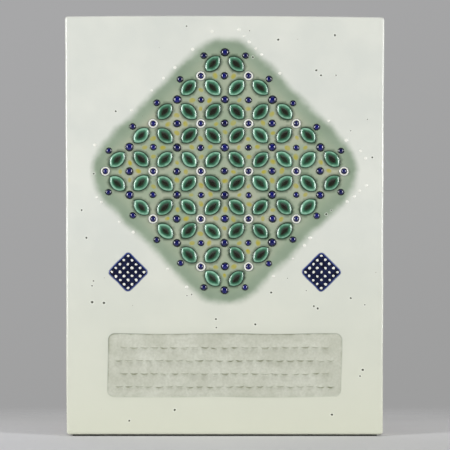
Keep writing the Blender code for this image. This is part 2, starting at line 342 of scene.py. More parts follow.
# %% Leaves pressed in their places
middles, turns, sizes = leaf_places()
leaf_tone = hand.uniform(-1, 1, (len(middles), 1, 1))
outlines = np.stack([leaf_outline(inset, LEAF_POINTS) for inset in LEAF_INSETS])
heights = LEAF_HEIGHTS[:, None] * (1 - 0.06 * (1 + leaf_tone) / 2)
numbers = add_rings(
    placed(outlines, middles, turns, sizes, LEAF_WOBBLE),
    heights,
    ["slab_glaze"] * 2 + ["green_glaze"] * (len(LEAF_INSETS) - 2),
    closed=True,
    pool=LEAF_PROFILE[:, 2, None],
    tone=leaf_tone,
)
loops = list(numbers[:, 0])
print("leaves:", skin_size(), "points")

# %% [markdown]
# Studs are pea-sized balls of clay pressed on, so each is a low dome. A collar is a ring of white slip, trailed
# on like icing, with a bead of blue in its middle. Both are turned forms: rings round one centre, whose
# heights come from a profile along the radius.

# %% The stud's dome
STUD_RISE = 0.62
STUD_WOBBLE = 0.03
ROUND_POINTS = 24


def dome(ratio):
    """Height 1 in the middle and 0 at the edge: nearly a cone between, with a round tip and a steep foot."""
    return 1 - 2.9 * ratio**2 / (1 + 4 * ratio) - 0.42 * ratio**8


def stud_height(ratio):
    """A dome of radius 1, on a small foot."""
    return np.maximum(STUD_RISE * dome(np.minimum(ratio, 1)), 0.03 * (ratio < 1.03))


print("the dome half way out stands", round(dome(0.5), 2), "of its height")

# %% Studs pressed in their places
# Each ring's radius over the stud's own. The ground turns blue close to the foot, and glaze pools at the edge.
STUD_RATIOS = np.array([1.1, 1.06, 1.0, 0.94, 0.85, 0.72, 0.53, 0.28])
stud_bleed = np.array([0, 0.4, 1, 0, 0, 0, 0, 0])
middles, radii = stud_places()
stud_tone = hand.uniform(-1, 1, (len(middles), 1, 1))
outlines = np.stack([circle(ratio, ROUND_POINTS) for ratio in STUD_RATIOS])
stud_pool = smooth((STUD_RATIOS - 0.62) / 0.36) * (STUD_RATIOS < 1.08)
numbers = add_rings(
    placed(outlines, middles, 0 * radii, radii, STUD_WOBBLE),
    stud_height(STUD_RATIOS)[:, None] * radii[:, None, None],
    ["slab_glaze"] * 2 + ["cobalt_glaze"] * 6,
    closed=True,
    pool=stud_pool[:, None],
    tone=stud_tone,
    bleed=stud_bleed[:, None],
)
loops.extend(numbers[:, 0])
print("with studs:", skin_size(), "points")

# %% The collar's ring and bead
COLLAR_RING_WIDTH = 1.9 * MM
COLLAR_HEIGHT = 1.6 * MM
COLLAR_BEAD_RISE = 1.0 * MM
COLLAR_SIZE = 0.99
COLLAR_WOBBLE = 0.025
# Eight rings over the slip, from just outside it inwards, and six over the bead.
collar_radii = np.array([5.05, 4.9, 4.7, 4.55, 4.3, 3.95, 3.6, 3.2, 2.95, 2.75, 2.5, 2.0, 1.3, 0.7]) * MM
collar_bleed = np.array([0, 0.3, 0.6] + 11 * [0])


def collar_height(radius):
    """A round ring, half a sine across its width, and inside it a low bead."""
    inner = COLLAR_RADIUS - COLLAR_RING_WIDTH
    across = np.clip((radius - inner) / COLLAR_RING_WIDTH, 0, 1)
    ring = COLLAR_HEIGHT * np.sin(np.pi * across) ** 0.7
    top = COLLAR_HEIGHT + 0.1 * COLLAR_BEAD_RISE
    bead = top * dome(np.minimum(radius / inner, 1))
    floor = 0.4 * MM * (radius < COLLAR_RADIUS - 0.1 * MM)
    return np.maximum(np.maximum(ring, bead), floor)


print("collar:", (1000 * collar_height(collar_radii)).round(2), "mm high from the outside in")

# %% Collars trailed in their places
middles = collar_places()
outlines = np.stack([circle(radius, ROUND_POINTS) for radius in collar_radii])
foot_pool = 0.7 * (np.abs(collar_radii - COLLAR_RADIUS) < 0.22 * MM)
inner_pool = np.exp(-(((collar_radii - (COLLAR_RADIUS - COLLAR_RING_WIDTH)) / (0.25 * MM)) ** 2))
numbers = add_rings(
    placed(outlines, middles, np.zeros(len(middles)), np.full(len(middles), COLLAR_SIZE), COLLAR_WOBBLE),
    collar_height(collar_radii)[:, None],
    ["slab_glaze"] * 2 + ["white_slip"] * 6 + ["cobalt_glaze"] * 6,
    closed=True,
    pool=np.maximum(foot_pool, inner_pool)[:, None],
    bleed=collar_bleed[:, None],
)
loops.extend(numbers[:, 0])
print("with collars:", skin_size(), "points")


# %% [markdown]
# The small square plates, the sunk panel and the slab itself share one kind of outline: a box with round
# corners. So one function serves them all. It takes the number of points on a corner and on each run, and
# every ring of one form then has as many points as the next.

# %% A box with round corners
def rounded_box(half_width, half_height, radius, corner, across, up):
    """A ring round a box: a quarter circle at each corner, and evenly spaced points on the straight runs."""
    quarter = np.linspace(0, np.pi / 2, corner)
    signs = [(1, 1), (-1, 1), (-1, -1), (1, -1)]
    arcs = []
    for k, (right, high) in enumerate(signs):
        middle = np.array([right * (half_width - radius), high * (half_height - radius)])
        arcs.append(middle + circle_at(radius, quarter + k * np.pi / 2))
    ring = []
    for k, count in enumerate([across, up, across, up]):
        run = np.linspace(arcs[k][-1], arcs[(k + 1) % 4][0], count + 2)[1:-1]
        ring += [arcs[k], run]
    return np.concatenate(ring)


print("a box with 7 points on a corner and 3 on a run has", len(rounded_box(1, 1, 0.1, 7, 3, 3)), "points")

# %% [markdown]
# What is left between the forms is filled with triangles by a constrained Delaunay triangulation. It keeps
# every outline, and loose points strewn in the wide parts keep its triangles even.


# %% The fill between rings
def staggered(low, high, spacing):
    """Loose points on a staggered grid in a box, as (x, z, gap). The gap is what each keeps to the rings."""
    rows = np.arange(low[1] + spacing, high[1] - spacing / 2, spacing * np.sqrt(3) / 2)
    columns = np.arange(low[0] + spacing, high[0] - spacing / 2, spacing)
    x, z = np.meshgrid(columns, rows)
    x = x + spacing / 2 * (np.arange(len(rows)) % 2)[:, None]
    return np.stack([x.ravel(), z.ravel(), np.full(x.size, 0.5 * spacing)], -1)


def fill(border, holes, finish, loose, back=False):
    """Triangles between a border ring and the rings inside it, by constrained Delaunay triangulation.

    Loose points go in where they keep their gap. Each ring goes in as a face, so that the output type for
    insides with holes can leave the holes out.
    """
    rings = [np.asarray(ring) for ring in [border, *holes]]
    numbers = np.concatenate(rings)
    known = np.concatenate(skin["points"])[numbers]
    flat = known[:, [0, 2]]
    on_rings = flat @ [1, 1j]
    near = [np.abs(part - on_rings[:, None]).min(0) for part in np.array_split(loose[:, :2] @ [1, 1j], 60)]
    loose = loose[np.concatenate(near) > loose[:, 2], :2]
    ends = np.cumsum([len(ring) for ring in rings])
    outlines = [list(range(end - len(ring), end)) for end, ring in zip(ends, rings)]
    points = np.concatenate([flat, loose])
    found = delaunay_2d_cdt(points.tolist(), [], outlines, 2, 1e-9)
    crossed = sum(not source for source in found[3])
    if crossed:
        raise ValueError(f"{finish}: {crossed} places where rings cross")
    origin = np.array([source[0] for source in found[3]])
    triangles = origin[np.array(found[2])]
    used = np.unique(triangles[triangles >= len(flat)])
    added = np.column_stack([points[used, 0], np.full(len(used), known[:, 1].mean()), points[used, 1]])
    renumber = np.zeros(len(points), int)
    renumber[: len(flat)] = numbers
    renumber[used] = add_points(added)
    add_faces(renumber[triangles][:, ::-1] if back else renumber[triangles], finish)
    print(finish, "fill:", len(triangles), "triangles,", len(rings) - 1, "holes")


print("a 9 mm grid on 90 mm squared:", len(staggered([0, 0], [90 * MM, 90 * MM], 9 * MM)), "loose points")

# %% [markdown]
# Two small square plates stand on their corners at the sides, dark navy, each with rows of white pips. They
# are thin slips of clay with a soft edge. The navy thins to a clear blue there, and bleeds a little outwards.
# Each plate is rings of a small box, and the fill closes it round the pips.

# %% Sizes of the square plates
SQUARE_SIDE = 27 * MM
SQUARE_RISE = 0.8 * MM
SQUARE_RADIUS = 3 * MM
SQUARE_GAP = 40 * MM
PANEL_MARGIN = 36 * MM
PANEL_HEIGHT = 60 * MM
SQUARE_X = FOOT_WIDTH / 2 - SQUARE_GAP - SQUARE_SIDE / np.sqrt(2)
SQUARE_Z = FOOT_Z + PANEL_MARGIN + PANEL_HEIGHT + SQUARE_GAP + SQUARE_SIDE / np.sqrt(2)
PIP_RADIUS = 1.5 * MM
PIP_RISE = 0.8 * MM
PIP_MARGIN = 1.2 * MM
PIP_WANDER = 0.25 * MM
PIP_ROWS = 5
print("the plates' middles are", round(2000 * SQUARE_X, 1), "mm apart")

# %% The plate's and the pips' rings
plate_insets = np.array([-1.3, -0.7, -0.4, -0.15, 0.1, 0.3, 0.45, 0.55]) * MM
halves = SQUARE_SIDE / 2 - plate_insets
plate = [rounded_box(half, half, SQUARE_RADIUS - t, 7, 3, 3) for half, t in zip(halves, plate_insets)]
plate_height = SQUARE_RISE * smooth((plate_insets + 0.62 * MM) / (1.07 * MM))
plate_bleed = np.array([0, 1, 1, 0, 0, 0, 0, 0])
plate_pool = np.array([0, 0, 0.3, 1, 0.9, 0.5, 0.2, 0])
reach = SQUARE_SIDE / 2 - PIP_MARGIN - PIP_RADIUS
steps = np.linspace(-reach, reach, PIP_ROWS)
grid = np.stack(np.meshgrid(steps, steps), -1).reshape(-1, 2)
pip_rings = np.stack([circle(ratio, 12) for ratio in (1.12, 1.06, 0.98, 0.8, 0.5)])
pip_height = SQUARE_RISE + PIP_RISE * np.array([0, 0, 0.25, 0.72, 0.95])
print(len(grid), "pips on a plate, and", len(plate[0]), "points on each of its rings")

# %% Square plates with their pips
for side in (-1, 1):
    middle = np.array([[side * SQUARE_X, SQUARE_Z]])
    rings = placed(np.stack(plate), middle, [np.pi / 4], [1])
    rings = rings + 0.16 * MM * np.sin(rings[..., ::-1] / (1.9 * MM) + side)
    numbers = add_rings(
        rings,
        plate_height[:, None],
        ["slab_glaze"] * 2 + ["navy_glaze"] * 5,
        pool=plate_pool[:, None],
        bleed=plate_bleed[:, None],
    )
    loops.extend(numbers[:, 0])
    wander = PIP_WANDER * hand.uniform(-1, 1, grid.shape)
    spots = turned((grid + wander)[None], [np.pi / 4])[0] + middle
    sizes = PIP_RADIUS * (1 + 0.12 * hand.uniform(-1, 0.8, len(spots)))
    rounds = placed(pip_rings, spots, 0 * sizes, sizes, 0.1)
    pips = add_rings(rounds, pip_height[:, None], ["navy_glaze"] * 2 + ["white_slip"] * 3, closed=True)
    fill(numbers[0, -1], pips[:, 0], "navy_glaze", np.empty((0, 3)))
print("with squares:", skin_size(), "points")

# %% [markdown]
# Along the foot lies a panel pressed half a millimetre into the clay, and printed all over with rows of small
# crescents. Each is the bite of a round-ended stick held at a slant: deep and sharp along its lower edge, and
# running out to nothing above. It could be cut with a Boolean, but that leaves hard edges, while rings can
# round them and raise a lip.

# %% The panel's sunk border
PANEL_WIDTH = 222.5 * MM
PANEL_Z = FOOT_Z + PANEL_MARGIN + PANEL_HEIGHT / 2
PANEL_DEPTH = 0.5 * MM
PANEL_RADIUS = 6 * MM
panel_box = np.array([PANEL_WIDTH, PANEL_HEIGHT]) / 2
panel_insets = np.array([-1.0, -0.7, -0.4, -0.1, 0.2, 0.5, 0.8, 1.1]) * MM
panel_height = -PANEL_DEPTH * smooth((panel_insets + 0.7 * MM) / (1.5 * MM))
# Painted shade, with some gathered glaze, darkens the step just inside its edge.
panel_pool = 0.75 * np.exp(-(((panel_insets - 0.2 * MM) / (0.75 * MM)) ** 2))
panel = np.stack([rounded_box(*(panel_box - t), PANEL_RADIUS - t, 8, 40, 10) for t in panel_insets])
panel = panel + 0.45 * MM * np.sin(panel[..., ::-1] / (17 * MM) + [0.4, 1.9]) * [1, 0.8]

# Glaze gathers in the line of the step, and painted shade makes it darker along its top; it comes and goes
# sideways.
x, z = panel[..., 0], panel[..., 1]
kept_glaze_and_shade = 0.6 + 0.6 * z / PANEL_HEIGHT + 0.25 * np.sin(x / (13 * MM)) * np.sin(x / (31 * MM) + 1)
panel_numbers = add_rings(
    panel[None] + np.array([0, PANEL_Z]),
    panel_height[:, None],
    ["slab_glaze"] * 3 + ["stamped_clay"] * 4,
    pool=panel_pool[:, None] * kept_glaze_and_shade,
)
loops.extend(panel_numbers[:, 0])
print("with the panel's border:", skin_size(), "points")

# %% Places of the stamps
STAMP_PITCH = 9.6 * MM
STAMP_ROW_PITCH = 12.5 * MM
STAMP_BORDER = 6 * MM
STAMP_RADIUS = 3.4 * MM
STAMP_BITE = 0.9 * MM
STAMP_TILT = np.radians(28)
STAMP_POINTS = 20


def stamp_places():
    """Middle of each stamp's round end, row by row, every second row set half a step aside."""
    room = 2 * (STAMP_BORDER + STAMP_RADIUS)
    columns = int((PANEL_WIDTH - room) / STAMP_PITCH) + 1
    rows = int((PANEL_HEIGHT - room) / STAMP_ROW_PITCH) + 1
    row = np.repeat(np.arange(rows), columns)
    column = np.tile(np.arange(columns), rows)
    count = columns - row % 2
    x = (column - (count - 1) / 2) * STAMP_PITCH
    z = PANEL_Z + (row - (rows - 1) / 2) * STAMP_ROW_PITCH
    return np.stack([x, z], -1)[column < count]


print(len(stamp_places()), "stamps in the panel")

# %% The bite of one stamp
# The bite is a slice of a circle. Its rings shrink towards a point near its deep edge, and the clay that it
# pushed aside stands up in a small lip on the second of them.
bite_reach = STAMP_BITE / np.sin(STAMP_TILT)
bite_top = -(STAMP_RADIUS - bite_reach) * np.cos(STAMP_TILT)
bite_tall = bite_reach * np.cos(STAMP_TILT)
half_chord = np.sqrt(STAMP_RADIUS**2 - (STAMP_RADIUS - bite_reach) ** 2)
across = np.cos(np.linspace(0, np.pi, STAMP_POINTS // 2 + 1))
lower = np.stack([-across, -np.sqrt(np.maximum(0, 1 - across**2))], -1)[:-1]
upper = np.stack([across, 0.25 * (1 - across**2)], -1)[:-1]
bite = np.concatenate([lower * [half_chord, bite_tall], upper * [half_chord, -bite_tall]])
deep_point = np.array([0, -0.62 * bite_tall])
bite_ratios = np.array([1.42, 1.28, 1.1, 0.88, 0.66, 0.36])
bite_depth = STAMP_BITE * np.array([0, -0.14, 0.18, 0.6, 0.92, 1.0])
# Painted shade in each bite, darkest towards its deep edge.
bite_pool = np.array([0, 0.4, 0.7, 0.85, 1, 0.9])
bites = deep_point + (bite - deep_point) * bite_ratios[:, None, None]
slope = np.clip(1 - 0.75 * (bites[..., 1] + bite_tall) / bite_tall, 0, 1)
bite_fall = bite_depth[:, None] * np.maximum(slope, 0.15)
print("a bite is", (2000 * half_chord).round(1), "mm wide and", (1000 * bite_fall.max()).round(2), "mm deep")

# %% The stamps pressed in rows
places = stamp_places()
moved = stray(len(places), SEED + 2)
middles = places + STRAY * moved[:, :2]
turns = 2 * STRAY_TURN * moved[:, 2]
numbers = add_rings(
    placed(bites + np.array([0, bite_top]), middles, turns, 1 + 0.06 * moved[:, 3]),
    -PANEL_DEPTH - bite_fall[None],
    ["stamped_clay"] * 6,
    closed=True,
    pool=bite_pool[:, None] * hand.uniform(0.45, 1, (len(places), 1, 1)),
)
loose = staggered([0, PANEL_Z] - panel_box, [0, PANEL_Z] + panel_box, 5 * MM)
fill(panel_numbers[0, -1], numbers[:, 0], "stamped_clay", loose)
print("with the panel's", len(places), "stamps:", skin_size(), "points")


# %% [markdown]
# The slab itself is one profile carried round its outline: from the hollow of the back, over the rim that
# lies on the wall, round the side and the worn front edge, and onto the face, where the glaze rolls off softly
# over the last millimetres.


# %% The profile, from the hollow's floor to the face
def quarter(inset, depth, radius, start, count, way=1):
    """Points on a quarter circle about (inset, depth), on from the start angle, or back if way is -1."""
    return [inset, depth] + circle_at(radius, start + way * np.linspace(0, np.pi / 2, count))


FLOOR_Y = FACE_Y + FACE_THICKNESS
FILLET = 3 * MM
LIP = 1 * MM
GLAZE_END_Y = -6 * MM
EDGE_Y = FACE_Y + FACE_EDGE_RADIUS + 0.16 * MM
profile = np.concatenate(
    [
        quarter(RIM_WIDTH + FILLET, FLOOR_Y + FILLET, FILLET, -np.pi / 2, 5, way=-1),
        quarter(RIM_WIDTH - LIP, -LIP, LIP, 0, 4),
        [[RIM_WIDTH * 0.66, 0], [RIM_WIDTH * 0.33, 0]],
        quarter(BACK_EDGE_RADIUS, -BACK_EDGE_RADIUS, BACK_EDGE_RADIUS, np.pi / 2, 5),
        [[0, GLAZE_END_Y], [0, -11 * MM], [0, -16 * MM]],
        quarter(FACE_EDGE_RADIUS, EDGE_Y, FACE_EDGE_RADIUS, np.pi, 8),
        [[2.8 * MM, FACE_Y + 0.06 * MM], [3.9 * MM, FACE_Y], [5 * MM, FACE_Y]],
    ]
)
print(len(profile), "rings from the hollow to the face")

# %% [markdown]
# The edges were cut by hand, so the outline leans and wavers by a fraction of a millimetre, always inwards:
# slow waves run up the sides, slower ones along the top and foot, and the top drops to the right.


# %% The outline's lean and waver
WAVER = 0.35 * MM
RIPPLE = 0.12 * MM


def hand_cut(points):
    """Points (x, z) round the slab's middle, leaned and wavered, in the frame.

    The width grows with height. The drop is a curve through 0.6, 0.16 and 1.28 of the right corner's drop, at
    the left, in the middle and at the right. Each wave is a product of two sines, so that it doesn't repeat.
    """
    x, z = points[..., 0], points[..., 1] + MIDDLE_Z
    half = FOOT_WIDTH / 2
    up = (z - FOOT_Z) / (TOP_Z - FOOT_Z)
    side = x / half
    waver = WAVER * (2.4 + np.sin(z / (27 * MM) + 2.1 * side) * np.sin(z / (61 * MM) - side)) / 2
    ripple = RIPPLE * (1 + np.sin(x / (33 * MM) + 1.3) * np.sin(x / (74 * MM) + up)) / 2
    drop = (0.16 + 0.34 * side + 0.78 * side**2) * TOP_RIGHT_DROP
    wide = x * (1 + up * TOP_FLARE / FOOT_WIDTH - waver / half)
    high = z - drop * up - ripple * (2 * up - 1)
    return np.stack([wide, high], -1)


corner = hand_cut(np.array([FOOT_WIDTH / 2, TOP_Z - MIDDLE_Z]))
print("the top right corner goes to", (1000 * corner).round(1), "mm")

# %% The slab's sides and back
rings = []
for inset, y in profile:
    if inset > RIM_WIDTH / 2:
        radius = HOLLOW_CORNER_RADIUS + RIM_WIDTH - inset
    else:
        radius = max(CORNER_RADIUS - inset, 0.3 * MM)
    ring = hand_cut(rounded_box(FOOT_WIDTH / 2 - inset, (TOP_Z - FOOT_Z) / 2 - inset, radius, 7, 40, 52))
    rings.append(np.column_stack([ring[:, 0], np.full(len(ring), y), ring[:, 1]]))

# The glaze ends unevenly on the sides: 6 mm from the wall, give or take 1.5 mm.
clay_rings = int(np.flatnonzero((profile == [0, GLAZE_END_Y]).all(1))[0])
along = np.linspace(0, 2 * np.pi, len(rings[0]), endpoint=False)
rings[clay_rings][:, 1] += MM * (np.sin(9 * along + 1) * np.sin(4 * along) + 0.5 * np.sin(31 * along))
border = add_points(np.stack(rings))
for k in range(len(border) - 1):
    join_rings(border[k], border[k + 1], "bare_clay" if k < clay_rings else "slab_glaze")
slab_low, slab_high = [-FOOT_WIDTH / 2, FOOT_Z], [FOOT_WIDTH / 2, TOP_Z]
fill(border[0], [], "bare_clay", staggered(slab_low, slab_high, 9 * MM), back=True)
print("bare clay up to ring", clay_rings, "of", len(profile), "and", skin_size(), "points in all")

# %% [markdown]
# Two more things lie between the forms. Ochre spots are dabs of a yellow glaze, quite flat, four to a cell
# where the hand didn't miss one. A few small dots of white slip lie along the outside of the wash. Both get
# rings of their own, so that their edges hold.

# %% Ochre spots
DAB_OUT = 8.6 * MM
DAB_WANDER = 0.7 * MM
DAB_SHARE = 0.8
i, j = pairs(TRELLIS_CELLS)
cells = lattice_point(i + 0.5, j + 0.5)
offsets = DAB_OUT * np.array([[1, 0], [0, 1], [-1, 0], [0, -1]])
dabs = (cells[:, None] + offsets).reshape(-1, 2)
dabs = dabs + DAB_WANDER * hand.uniform(-1, 1, dabs.shape)
dabs = dabs[hand.uniform(size=len(dabs)) < DAB_SHARE]
ovals = np.stack([circle(ratio, 10) for ratio in (1.25, 0.95, 0.5)]) * [1.2, 0.9]
sizes = hand.uniform(1.7, 2.5, len(dabs)) * MM
numbers = add_rings(
    placed(ovals, dabs, hand.uniform(0, np.pi, len(dabs)), sizes),
    0.0,
    ["slab_glaze"] * 3,
    closed=True,
    ochre=np.array([0, 0.8, 1])[:, None],
)
loops.extend(numbers[:, 0])
print(len(dabs), "ochre spots")

# %% Places of the slip dots
DOT_PITCH = 8.2 * MM
DOT_OUT = 23.5 * MM
DOT_WANDER = 1.1 * MM
DOT_SHARE = 0.35
DOTS_APART = 5 * MM
DOTS_HALF_WIDTH = 138 * MM
DOTS_TOP_Z = TOP_Z - 12 * MM
DOTS_FOOT_Z = -268 * MM
along = np.arange(-13.5, 14) * DOT_PITCH
out = LATTICE_HALF / np.sqrt(2) + DOT_OUT
rows = np.concatenate([np.stack([along, np.full(len(along), s * out)], -1) for s in (-1, 1)])
rows = np.concatenate([rows, rows[:, ::-1]])
dots = turned(rows[None], [np.pi / 4])[0] + [0, TRELLIS_Z]
dots = dots + DOT_WANDER * hand.uniform(-1, 1, dots.shape)
dots = dots[(np.abs(dots[:, 0]) < DOTS_HALF_WIDTH) & (dots[:, 1] < DOTS_TOP_Z) & (dots[:, 1] > DOTS_FOOT_Z)]
dots = dots[hand.uniform(size=len(dots)) < DOT_SHARE]
apart = np.linalg.norm(dots[:, None] - dots, axis=-1) + np.triu(np.ones((len(dots), len(dots))))
dots = dots[apart.min(1) > DOTS_APART]
print(len(dots), "slip dots")

# %% Slip dots
dot_rings = np.stack([circle(ratio, 10) for ratio in (1.3, 1.12, 0.95, 0.6)])
dot_height = np.array([0, 0, 0.22, 0.38]) * MM
sizes = hand.uniform(1.0, 1.75, len(dots)) * MM
numbers = add_rings(
    placed(dot_rings, dots, 0 * sizes, sizes),
    dot_height[:, None],
    ["slab_glaze"] * 2 + ["white_slip"] * 2,
    closed=True,
)
loops.extend(numbers[:, 0])
print("with slip dots:", skin_size(), "points")

# %% [markdown]
# Here and there a grain of iron in the clay burnt through the glaze and left a pit with a dark floor and a pale
# rim. They lie at random, so random places are drawn, and those too close to another form are dropped.

# %% Places of the pits
PIT_TRIES = 100
PIT_MARGIN = 8 * MM
PIT_HALF_WIDTH = 142 * MM
PIT_CLEARANCE = 3.5 * MM
pit_low, pit_high = [-PIT_HALF_WIDTH, FOOT_Z + PIT_MARGIN], [PIT_HALF_WIDTH, TOP_Z - PIT_MARGIN]
pits = hand.uniform(pit_low, pit_high, (PIT_TRIES, 2))
taken = np.concatenate(skin["points"])[np.concatenate(loops)][:, [0, 2]]
clear = np.abs(pits[:, None] - taken).max(-1).min(1) > PIT_CLEARANCE
in_panel = (np.abs(pits - [0, PANEL_Z]) < panel_box).all(1)
in_plate = np.abs(np.abs(pits) - [SQUARE_X, -SQUARE_Z]).sum(1) < SQUARE_SIDE
pits = pits[clear & ~in_panel & ~in_plate]
print(len(pits), "pits")

# %% Pits
sizes = hand.uniform(0.5, 1.4, len(pits)) * MM
pit_rings = np.stack([circle(ratio, 10) for ratio in (2.2, 1.5, 1.0, 0.6)])
pit_height = np.array([0, 0.06, 0, -0.3]) * MM
pit_mark = np.array([0, -0.5, 0.5, 1])
numbers = add_rings(
    placed(pit_rings, pits, 0 * sizes, sizes, 0.12),
    pit_height[:, None],
    ["slab_glaze"] * 3,
    closed=True,
    pit=pit_mark[:, None],
)
loops.extend(numbers[:, 0])
print("with pits:", skin_size(), "points")

# %% [markdown]
# Now the ground between all these rings is filled, and the skin is closed. Its loose points lie closer together
# among the leaves than outside, because there the ground's colour changes within millimetres.

# %% The ground
FINE_REACH = LATTICE_HALF + 16 * MM
coarse = staggered(slab_low, slab_high, 7 * MM)
fine = staggered(slab_low, slab_high, 2.5 * MM)
coarse = coarse[np.abs(coarse[:, :2] - [0, TRELLIS_Z]).sum(1) > FINE_REACH + 4 * MM]
fine = fine[np.abs(fine[:, :2] - [0, TRELLIS_Z]).sum(1) < FINE_REACH]
fill(border[-1], loops, "slab_glaze", np.concatenate([coarse, fine]))

# %% [markdown]
# Glaze gathers where a form meets the ground, so the ground is dark green close to a leaf. Each point of the
# ground knows how far it is from the nearest one: as far as from the farther of its two arcs' centres, less
# their radius.

# %% How close the ground is to a leaf
def to_leaves(ground):
    """Distance from each point (x, z) to the nearest leaf's outline, negative inside it."""
    middles, turns, sizes = leaf_places()
    apart = ground[:, None] - middles
    along = apart[..., 0] * np.cos(turns) + apart[..., 1] * np.sin(turns)
    across = np.abs(apart[..., 1] * np.cos(turns) - apart[..., 0] * np.sin(turns))
    return (np.hypot(along, across + LEAF_ARC_CENTRE * sizes) - LEAF_ARC_RADIUS * sizes).min(1)


print("from a leaf's tip to its neighbour's:", round(1000 * (PITCH - LEAF_LENGTH), 1), "mm")

# %% The ground darkened along the leaves
LEAF_SHADE = 0.7 * MM
points = np.concatenate(skin["points"])
marks = {name: np.concatenate(skin[name]) for name in MARKS}
level = np.flatnonzero(np.abs(points[:, 1] - FACE_Y) < 1e-7)
ground = points[level][:, [0, 2]]
by_leaf = 0.95 * np.exp(-to_leaves(ground) / LEAF_SHADE)
marks["pool"][level] = np.maximum(marks["pool"][level] * 0.8, by_leaf)
print(len(level), "points of the ground marked")

# %% [markdown]
# The face of a pressed slab is never quite flat. Slow waves, a quarter of a millimetre deep, let the light
# wander over it. They fade out along the sides, and the back stays as it is. Then the points, the faces, the
# finish of each face and the marks go into one mesh.

# %% The swell of the face
SWELL = 0.25 * MM
x, z = points[:, 0], points[:, 2]
swell = 0.5 + 0.25 * np.sin(x / (31 * MM) + 0.7) * np.sin(z / (43 * MM))
swell = swell + 0.25 * np.sin((x + z) / (57 * MM) + 2)
points[:, 1] += SWELL * swell * smooth((-points[:, 1] - 12 * MM) / (8 * MM))
print("the swell:", (1000 * SWELL * np.array([swell.min(), swell.max()])).round(2), "mm")

# %% The mesh
faces = np.concatenate(skin["faces"])
mesh = bpy.data.meshes.new("glazed_plaque")
mesh.from_pydata(points, [], faces)
mesh.polygons.foreach_set("material_index", np.concatenate(skin["slots"]).astype(np.int32))
mesh.polygons.foreach_set("use_smooth", np.ones(len(faces), bool))
for name in MARKS:
    mesh.attributes.new(name, "FLOAT", "POINT").data.foreach_set("value", marks[name].astype(np.float32))
mesh.update()
mesh.validate()
plaque = bpy.data.objects.new("glazed_plaque", mesh)
bpy.context.collection.objects.link(plaque)

sides = np.sort(np.stack([faces, np.roll(faces, -1, 1)], -1).reshape(-1, 2), 1)
_, shared = np.unique(sides, axis=0, return_counts=True)
print(len(faces), "triangles, open edges:", int((shared == 1).sum()), "crowded edges:", int((shared > 2).sum()))

# %% [markdown]
# Materials start from what the potter used. One function turns a hex colour to linear light, one adds a node,
# one starts a glaze, and one finishes it: it gives the glaze its colour and makes its skin uneven, as all the
# glazes here are. Each pattern's scale is one over the size of its patches.


# %% Colour and node helpers
def linear(code):
    """sRGB hex to linear: the standard curve, with its straight foot below 0.04045."""
    value = np.array([int(code[k : k + 2], 16) for k in (1, 3, 5)]) / 255
    light = np.where(value <= 0.04045, value / 12.92, ((value + 0.055) / 1.055) ** 2.4)
    return (*light.tolist(), 1.0)


def add(tree, kind, inputs=(), out=0, stops=(), **settings):
    """Adds a shader node of that kind and returns one of its outputs.

    inputs fills its sockets, in order or by key, with numbers, vectors, hex colours or other nodes' outputs.
    stops are a colour ramp's places and hex colours.
    """
    made = tree.nodes.new("ShaderNode" + kind)
    for name, value in settings.items():
        setattr(made, name, value)
    for key, value in inputs.items() if isinstance(inputs, dict) else enumerate(inputs):
        if isinstance(value, bpy.types.NodeSocket):
            tree.links.new(value, made.inputs[key])
        else:
            made.inputs[key].default_value = linear(value) if isinstance(value, str) else value
    for k, (place, code) in enumerate(stops):
        elements = made.color_ramp.elements
        stop = elements[k] if k < 2 else elements.new(place)
        stop.position = place
        stop.color = linear(code)
    return made.outputs[out]


print("mid grey in linear light:", round(linear("#808080")[0], 3))


# %% Starting and finishing a glaze
def glaze(name, roughness, **sockets):
    """A new material in the plaque's next slot: its tree, its shader and its Object coordinates."""
    material = bpy.data.materials.new(name)
    material.use_nodes = True
    shader = material.node_tree.nodes["Principled BSDF"]
    for key, value in {"Roughness": roughness, **sockets}.items():
        shader.inputs[key.replace("_", " ")].default_value = value
    mesh.materials.append(material)
    return material.node_tree, shader, add(material.node_tree, "TexCoord", out="Object")


def fired(tree, shader, where, colour, peel_size, wave_size, distance):
    """Gives the shader its colour, and a bump of that distance: waves, and a quarter as much of orange peel."""
    peel = add(tree, "TexNoise", {"Vector": where, "Scale": 1 / peel_size, "Detail": 2.0})
    wave = add(tree, "TexNoise", {"Vector": where, "Scale": 1 / wave_size, "Detail": 1.0})
    height = add(tree, "Math", [peel, 0.25, wave], operation="MULTIPLY_ADD")
    bump = add(tree, "Bump", {"Distance": distance, "Height": height})
    tree.links.new(colour, shader.inputs["Base Color"])
    tree.links.new(bump, shader.inputs["Normal"])
    print(mesh.materials[-1].name, "has", len(tree.nodes), "nodes")


print("each glaze takes the next of the slots", SLOT)

# %% [markdown]
# The slab has a tin-white glaze over pale stoneware: glossy, a little uneven, warmer towards its foot, with a
# few specks where iron in the clay burnt through. A grey-green wash was brushed over the middle before it,
# strongest in a ring round the trellis, and it ends softly.

# %% White slab glaze: the ground
tree, shader, where = glaze("white_slab_glaze", 0.19, IOR=1.55, Specular_IOR_Level=0.65)
_, y, z = add(tree, "SeparateXYZ", [where]).node.outputs
cloud = add(tree, "TexNoise", {"Vector": where, "Scale": 1 / (45 * MM), "Detail": 3.0})
ground = add(tree, "ValToRGB", [cloud], stops=[(0.35, "#c9ccc5"), (0.65, "#d0d2ca")])
low_down = add(tree, "MapRange", {"Value": z, "From Min": MIDDLE_Z, "From Max": FOOT_Z})
ground = add(tree, "Mix", {0: low_down, 6: ground, 7: "#c7c9b8"}, 2, data_type="RGBA")
print("the ground of the glaze:", len(tree.nodes), "nodes")

# %% [markdown]
# How strong the wash is depends on how far a point lies outside the trellis, which is a square stood on its
# corner. So the point is turned by an eighth of a circle round the middle of the trellis. What it then lies
# beyond the square, sideways and upwards, gives the distance, with round corners. The wash could be a painted
# picture, but worked out like this its edge stays soft and grainy from close by as well.

